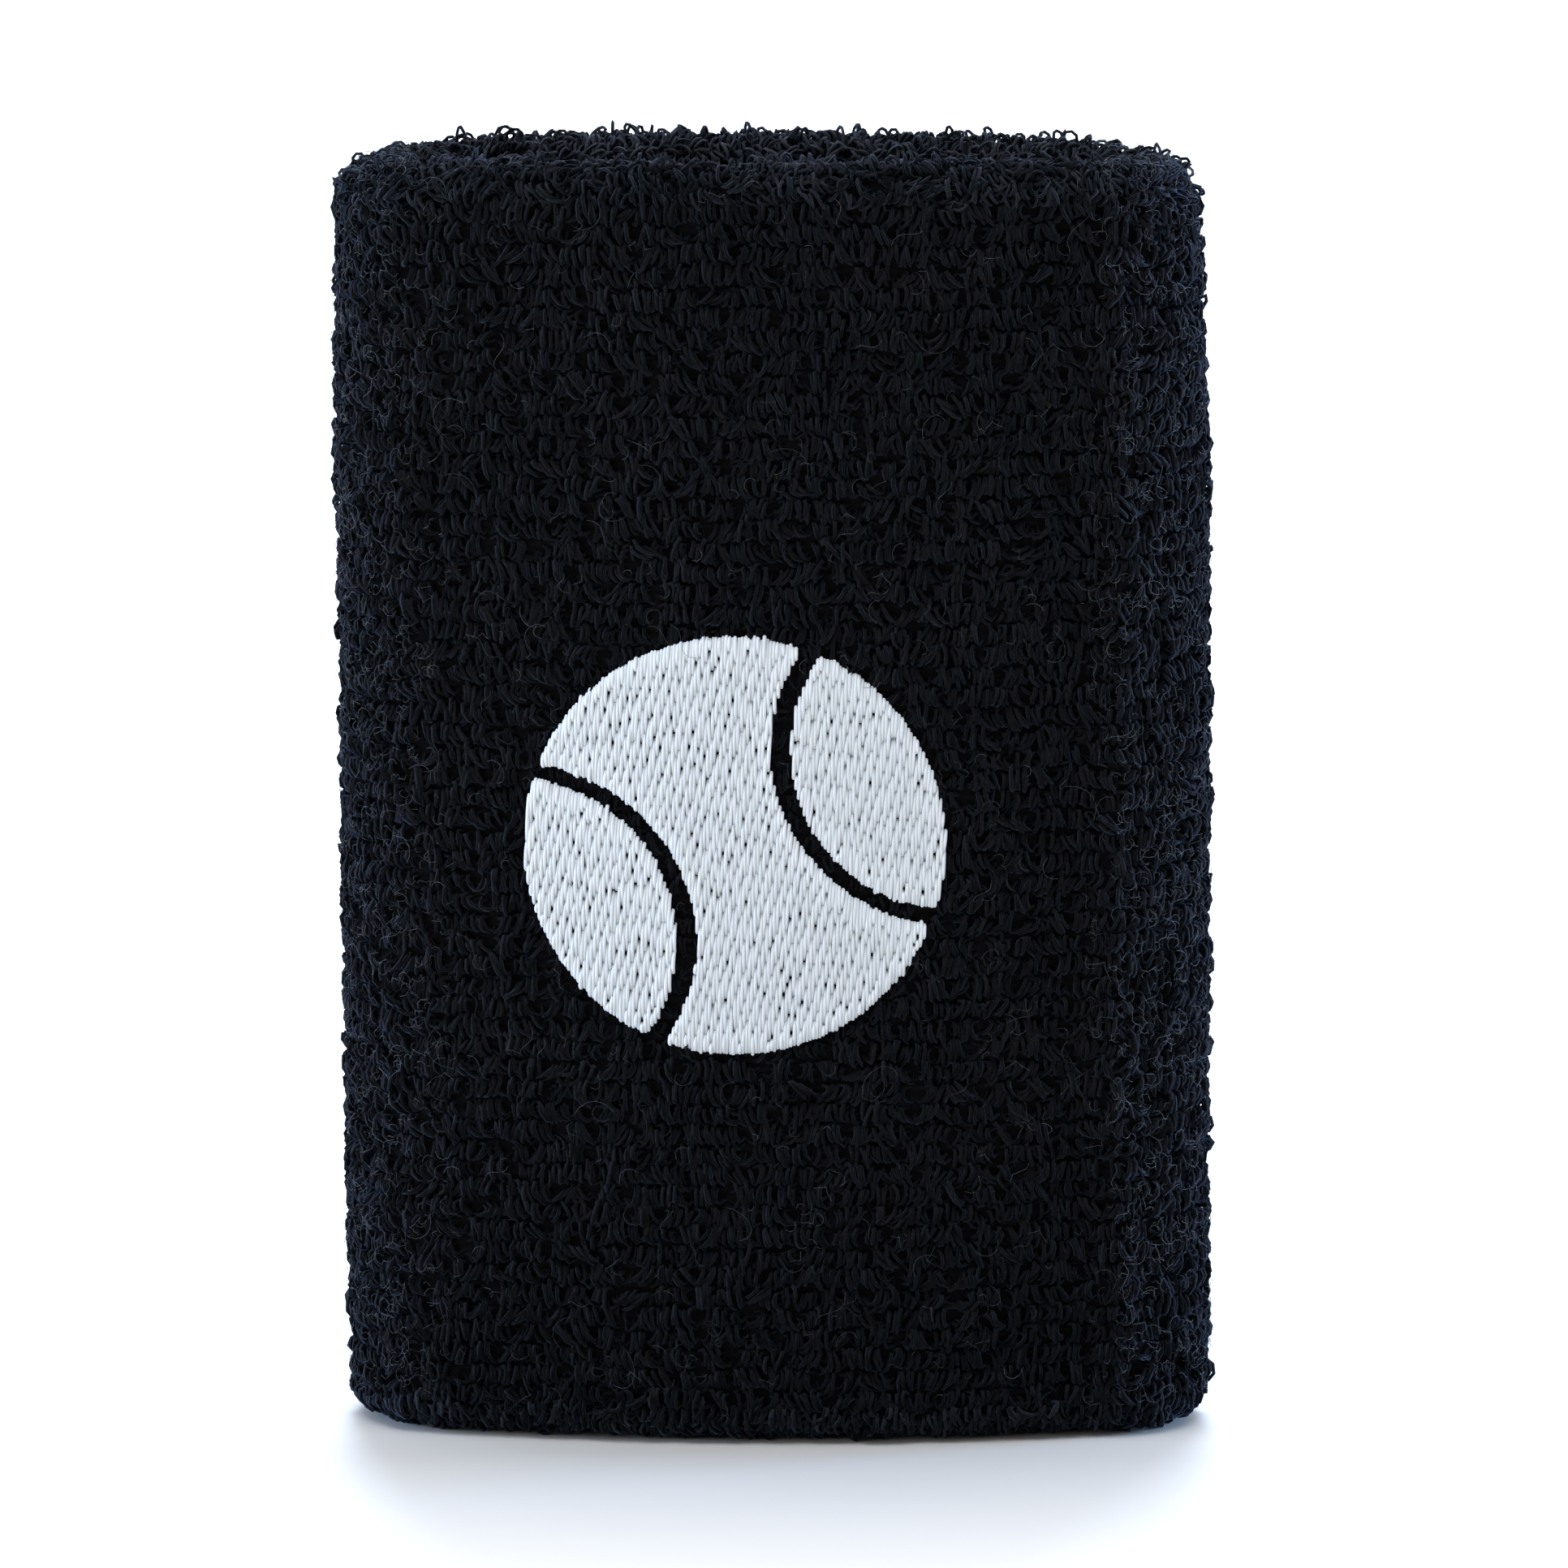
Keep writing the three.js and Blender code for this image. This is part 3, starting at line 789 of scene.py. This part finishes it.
# the stitching covers the pile, presses it down around the ball, and most in the ball's gaps
x, _, z = outside["point"].T
front = outside["point"][:, 1] < 0
depth = ballRegion(x, z)[1]
covered = front & (depth > -pile["overBall"])
near = front & (depth > -ball["pressed"])
inGap = near & (np.hypot(x - emblemX, z - emblemZ) < emblemRadius)
outside["tall"] = outside["tall"] * np.where(inGap, pile["gapTo"], np.where(near, pile["pressedTo"], 1))
height = (z - baseLine) / (topLine - baseLine)
thirds = {
    "Lower": height < 1 / 3,
    "Middle": (height >= 1 / 3) & (height < 2 / 3),
    "Upper": height >= 2 / 3,
}
pilePieces = {}
for side, kept in (("front", front & ~covered), ("back", ~front)):
    for third, within in thirds.items():
        name = side + "Pile" + third
        pilePieces[name] = makePile(name, outside, kept & within)
pilePieces["topRimPile"] = makePile(
    "topRimPile", topRim, yarn=pile["rimYarn"], steps=6, finish=paintedRimLightCotton)
pilePieces["baseRimPile"] = makePile("baseRimPile", baseRim, finish=paintedRimLightCotton)
pilePieces["liningPileUpper"] = makePile("liningPileUpper", liningHigh, steps=3)
pilePieces["liningPileLower"] = makePile("liningPileLower", liningLow, steps=3)

lint = {
    "strays": 1300,  # long loose fibres anywhere on the pile
    "strayLength": 2.4 * mm,
    "fuzz": 6500,  # short ones at the ends of the oval, where the band was folded flat and rubbed
    "fuzzLength": 1.5 * mm,
    "fuzzFrom": 0.7,  # where the fuzz begins, as a share of the half width
    "fibre": 0.03 * mm,  # drawn thicker than a cotton fibre's 0.02 mm, so that it shows
    "lift": (0.65, 0.95),  # how high in the pile a fibre lies
    "scatter": 0.5,  # mm
    "flatness": 0.55,  # how high a fibre curls, as a share of its length
    "seed": 11,
}
lintShapes = (
    ((-0.5, 0, -0.1), (-0.2, 0.35, 0.3), (0.15, -0.4, 0.3), (0.5, 0.1, 0.05)),
    ((-0.4, 0.1, -0.1), (0.3, 0.4, 0.5), (-0.4, 0.5, 0.2), (0.3, -0.1, 0.1)),
    ((-0.5, 0, -0.1), (-0.3, -0.4, 0.4), (0.4, -0.4, 0.1), (0.4, 0.3, 0.2)),
    ((-0.45, -0.2, -0.15), (-0.3, 0.3, 0.6), (0.4, 0.3, 0.4), (0.3, -0.2, 0)),
)
lintFibres = yarnTree("lintFibres", lintShapes)


def makeLint(name, count, length, steps, worn, paintedLightness):
    # fibre ends that lie on the pile and curl off it, more of them where it is worn; how light they are
    # coloured is partly painted light
    draw = np.random.default_rng(lint["seed"])
    beds = [np.concatenate([outside[key][~covered], topRim[key]])
            for key in ("point", "normal", "around", "way")]
    chance = worn(np.abs(beds[0][:, 0]) / halfWidth)
    chosen = draw.choice(len(chance), count, p=chance / chance.sum())
    point, normal, around, way = (bed[chosen] for bed in beds)
    point = point + normal * (pileHeight * draw.uniform(*lint["lift"], count) - packed)[:, None]
    sideways, alongside = (draw.normal(0, lint["scatter"], count)[:, None] for _ in range(2))
    point = point + (around * sideways + way * alongside) * mm
    turn = draw.uniform(0, 2 * pi, count)[:, None]
    across = around * np.cos(turn) + way * np.sin(turn) + normal * draw.normal(0, 0.12, count)[:, None]
    long = np.clip(draw.lognormal(-0.3, 0.45, count), 0.3, 2)
    grow = np.stack([long, long, long * lint["flatness"]], -1)
    obj = pointBed(name, point, facing=normal, across=unit(across), grow=grow,
                   shade=paintedLightness * draw.beta(0.8, 3, count),
                   kind=draw.integers(0, len(lintShapes), count).astype(np.int32))
    return grown(obj, lintFibres, Width=length, Height=length, Yarn=lint["fibre"], Unevenness=0.1,
                 Steps=steps, Sides=3, Finish=lintFibre)


pilePieces["looseFibres"] = makeLint("looseFibres", lint["strays"], lint["strayLength"], 8,
                                     lambda end: 0.6 + end, 0.4)
# painted light: the fuzz at the ends is coloured lighter, for the cool side light that it catches
pilePieces["rubbedFuzz"] = makeLint("rubbedFuzz", lint["fuzz"], lint["fuzzLength"], 4,
                                    lambda end: np.clip((end - lint["fuzzFrom"]) * 8, 0.02, 1), 0.85)
print("pile stands")


# The embroidered ball: its stitches

stitchShape = ((-0.5, 0, 0), (-0.43, 0, 1), (0.43, 0, 1), (0.5, 0, 0))
fillStitches = yarnTree("fillStitches", [stitchShape])


def stitchLines(which):
    # upright rows of stitches that fill one region of the ball, each row a third of a stitch on
    slope = tan(radians(ball["slant"]))
    reach = emblemRadius + 2 * mm
    lines = []
    for row, rowX in enumerate(np.arange(-reach, reach, ball["threadPitch"])):
        z = np.arange(-reach, reach, 0.05 * mm)
        inside = ballRegion(emblemX + rowX + slope * z, emblemZ + z)[0] == which
        edges = np.flatnonzero(np.diff(np.concatenate([[0], inside.astype(int), [0]])))
        for start, end in zip(edges[::2], edges[1::2]):
            low = z[start] - abs(random.normal(0, ball["ragged"])) * mm
            high = z[end - 1] + abs(random.normal(0, ball["ragged"])) * mm
            if high - low < ball["shortest"]:
                continue
            first = ((row % 3) / 3 + random.uniform(-0.12, 0.12)) * ball["stitch"]
            cuts = np.arange(-2 * emblemRadius + first, 2 * emblemRadius, ball["stitch"])
            cuts = cuts + random.normal(0, 0.25, len(cuts)) * mm
            cuts = cuts[(cuts > low + 0.8 * mm) & (cuts < high - 0.8 * mm)]
            gapes = random.random(len(cuts)) < ball["skip"]
            gape = np.where(gapes, random.uniform(0.12, 0.34, len(cuts)), 0) * mm
            lows = np.concatenate([[low], cuts + gape])
            highs = np.concatenate([cuts - gape, [high]])
            lines += [(rowX, a, b) for a, b in zip(lows, highs)]
    rowX, low, high = np.array(lines).T
    middle = (low + high) / 2
    return emblemX + rowX + slope * middle, emblemZ + middle, (high - low) * 1.03, slope


def frontWall(x, z, out):
    # the point of the front wall that has this x and z, this far out, and its normal
    faceX, faceY, radius = arcs[3, :3]
    side = np.clip((x - faceX) / (radius + out), -0.99, 0.99)
    normal = np.stack([side, -np.sqrt(1 - side ** 2), np.zeros_like(side)], -1)
    point = np.stack([x, faceY + (radius + out) * normal[:, 1], z], -1)
    return point + normal * swell(point)[:, None], normal


def makeStitches(name, which):
    x, z, length, slope = stitchLines(which)
    count = len(x)
    depth = ballRegion(x, z)[1]
    liftedAndLit = np.clip(1 - depth / ball["edge"], 0, 1)
    out = wall - ball["inset"] + random.normal(0, 0.018, count) * mm + liftedAndLit * ball["underlay"]
    point, normal = frontWall(x, z, out)
    lean = slope + random.normal(0, 0.022, count)
    along = unit(np.stack([lean, np.zeros(count), np.ones(count)], -1))
    along = unit(along - normal * (along * normal).sum(-1, keepdims=True))
    grow = np.stack([length / ball["stitch"], np.ones(count), np.ones(count)], -1)
    # painted highlight: the lifted edge is coloured lighter, for the light its curving threads catch
    shade = np.clip(0.5 + random.normal(0, 0.08, count) + 0.3 * liftedAndLit, 0, 1)
    obj = pointBed(name, point, facing=normal, across=along, grow=grow, shade=shade,
                   kind=np.zeros(count, np.int32))
    return grown(obj, fillStitches, Width=ball["stitch"], Height=ball["dip"], Yarn=ball["thread"],
                 Unevenness=0.06, Steps=8, Sides=6, Finish=embroideryThread)


ballPieces = {
    "emblem_left": makeStitches("ballStitchesLeft", 1),
    "emblem_middle": makeStitches("ballStitchesMiddle", 2),
    "emblem_right": makeStitches("ballStitchesRight", 3),
}
print("ball embroidered")


# The closing seam, halfway up the lining

seam = {
    "pitch": 1.3 * mm,
    "reach": 2.4 * mm,  # how far a stitch spans across the seam
    "slants": (-0.25, 0.45),  # of every other stitch
    "thread": 0.3 * mm,
    "dip": 0.45 * mm,
    "seed": 3,
}


def makeSeam():
    # slanting stitches whip the two raw ends together, and cross over the seam one by one
    draw = np.random.default_rng(seam["seed"])
    count = round(girth(groundIn) / seam["pitch"])
    share = (np.arange(count) + draw.uniform(-0.1, 0.1, count)) / count
    flat, outward = aroundOval(share, np.full(count, groundIn))
    middle = (seamLow + seamHigh) / 2
    slant = np.array(seam["slants"])[np.arange(count) % 2]
    along = unit(up + np.cross(up, outward) * slant[:, None])
    grow = np.stack([draw.uniform(0.9, 1.1, count), np.ones(count), np.ones(count)], -1)
    obj = pointBed("seamStitches", flat + up * middle, facing=-outward, across=along, grow=grow,
                   shade=draw.uniform(0.3, 0.7, count), kind=np.zeros(count, np.int32))
    return grown(obj, yarnTree("seamStitches", [stitchShape]), Width=seam["reach"], Height=seam["dip"],
                 Yarn=seam["thread"], Unevenness=0.1, Steps=6, Sides=5, Finish=overlockThread)


seamStitches = makeSeam()
print("seam closed")


# What rides on the frame, and what it stands for

carried = {
    "elastane_outer": elastaneYarn,
    "elastane_lining_upper": elastaneYarn,
    "elastane_lining_lower": elastaneYarn,
    "emblem_backing": backingFelt,
    "emblem_bobbin_thread": bobbinThread,
    "seam_edge_upper": jersey,
    "seam_edge_lower": jersey,
}
for node, look in carried.items():
    mesh = bpy.data.objects[node].data
    mesh.materials.clear()
    mesh.materials.append(look)

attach(terrySleeve, body)
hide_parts("outer_ground", "top_rim_ground", "base_rim_ground", "lining_ground_upper",
            "lining_ground_lower")
standsFor = {
    "frontPileMiddle": "outer_pile", "topRimPile": "top_rim_pile", "baseRimPile": "base_rim_pile",
    "liningPileUpper": "lining_pile_upper", "liningPileLower": "lining_pile_lower",
}
for name, obj in pilePieces.items():
    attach(obj, body)
    if name in standsFor:
        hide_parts(standsFor[name])
for node, obj in ballPieces.items():
    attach(obj, body)
    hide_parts(node)
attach(seamStitches, body)
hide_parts("closing_thread")
